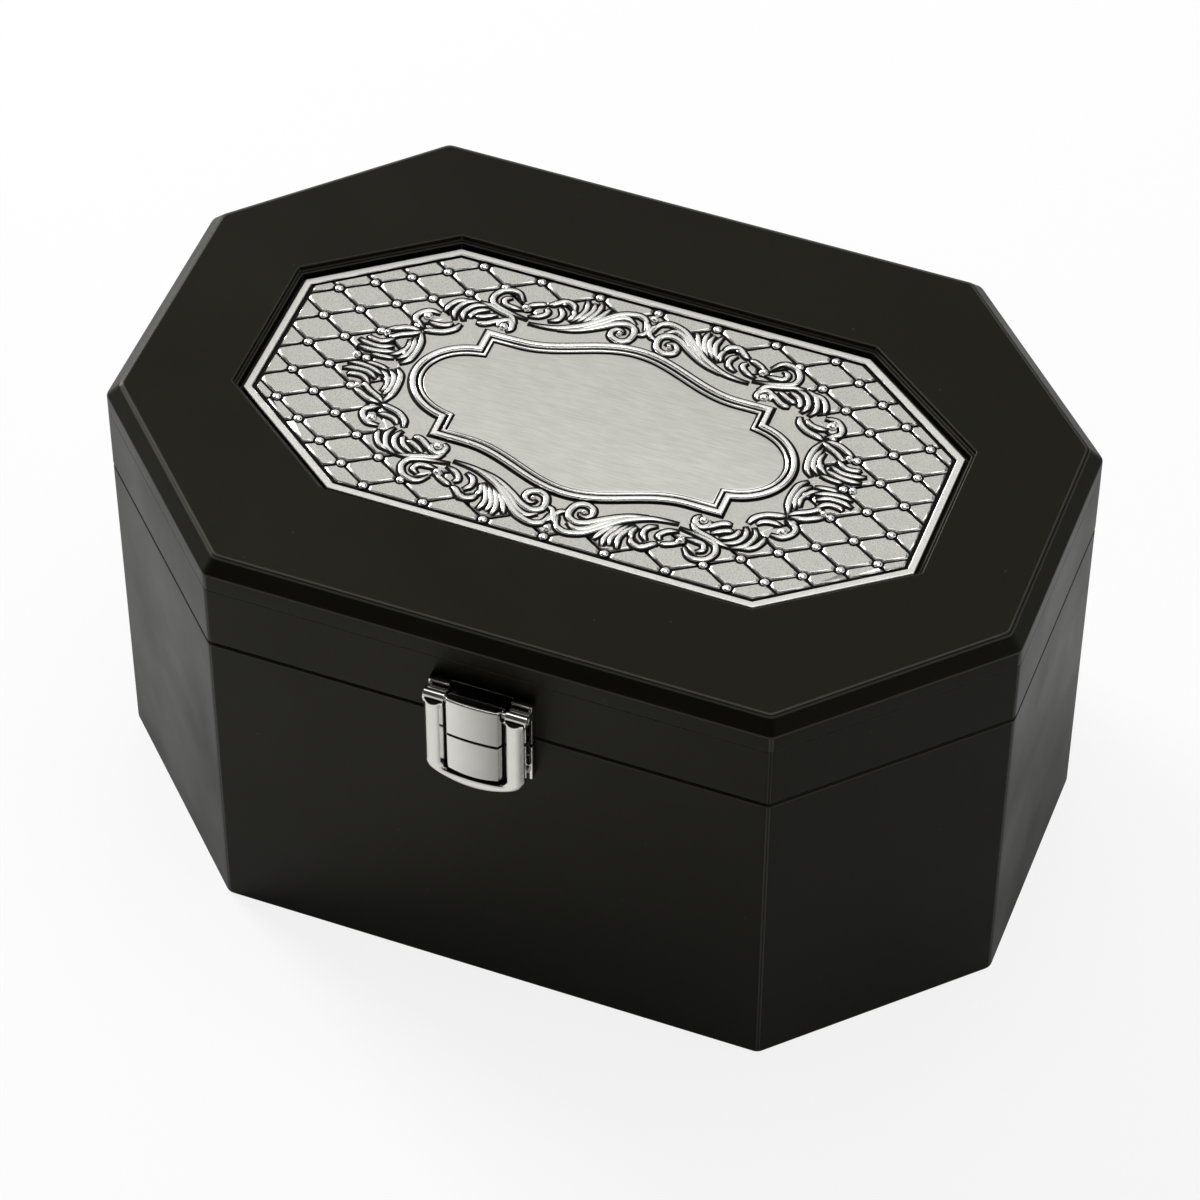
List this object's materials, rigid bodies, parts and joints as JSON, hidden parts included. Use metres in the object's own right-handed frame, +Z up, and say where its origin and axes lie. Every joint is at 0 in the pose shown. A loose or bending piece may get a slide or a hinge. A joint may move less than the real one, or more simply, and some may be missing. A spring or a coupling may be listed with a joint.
{
  "type": "etrog box",
  "caption": "Octagonal black lacquered box with a hinged lid, an embossed metal plaque let into its top, a front flap latch and a padded nest for the fruit.",
  "frame": {"origin": "middle of the underside, on the surface that the box stands on", "axes": "+X along the box to the right, -Y to the front with the latch, +Z up"},
  "size_m": [0.18, 0.131, 0.0966],
  "materials": {
    "lacquer": "black satin lacquer on wood",
    "plaque_metal": "pressed and darkened in the grooves, bright on the relief",
    "nickel": "nickel-plated pressed steel, brushed",
    "steel": "bright steel",
    "velvet": "dark blue velvet",
    "felt": "black felt"
  },
  "bodies": {
    "body": {"body_carcass": "lacquer", "body_bottom": "lacquer", "base_felt": "felt", "body_lining": "velvet", "nest_cushion": "velvet", "hinge_left_body_leaf": "steel", "hinge_left_pin": "steel", "hinge_left_body_screw_1": "steel", "hinge_left_body_screw_2": "steel", "hinge_right_body_leaf": "steel", "hinge_right_pin": "steel", "hinge_right_body_screw_1": "steel", "hinge_right_body_screw_2": "steel", "latch_strike": "nickel", "latch_strike_screw_1": "steel", "latch_strike_screw_2": "steel"},
    "lid": {"lid_frame": "lacquer", "lid_top_board": "lacquer", "plaque": "plaque_metal", "lid_lining": "velvet", "lid_pad": "velvet", "hinge_left_lid_leaf": "steel", "hinge_left_lid_screw_1": "steel", "hinge_left_lid_screw_2": "steel", "hinge_right_lid_leaf": "steel", "hinge_right_lid_screw_1": "steel", "hinge_right_lid_screw_2": "steel", "latch_lid_plate": "nickel", "latch_pin": "steel", "latch_lid_screw_1": "steel", "latch_lid_screw_2": "steel"},
    "flap": {"latch_flap": "nickel", "latch_spring": "steel"}
  },
  "joints": [
    {"name": "lid_hinge", "type": "hinge", "parent": "body", "child": "lid", "pos_m": [0, 0.0624, 0.0748], "axis": [-1, 0, 0], "range_deg": [0, 100]},
    {"name": "latch_hinge", "type": "hinge", "parent": "lid", "child": "flap", "pos_m": [0, -0.0644, 0.0837], "axis": [-1, 0, 0], "range_deg": [0, 100]}
  ]
}
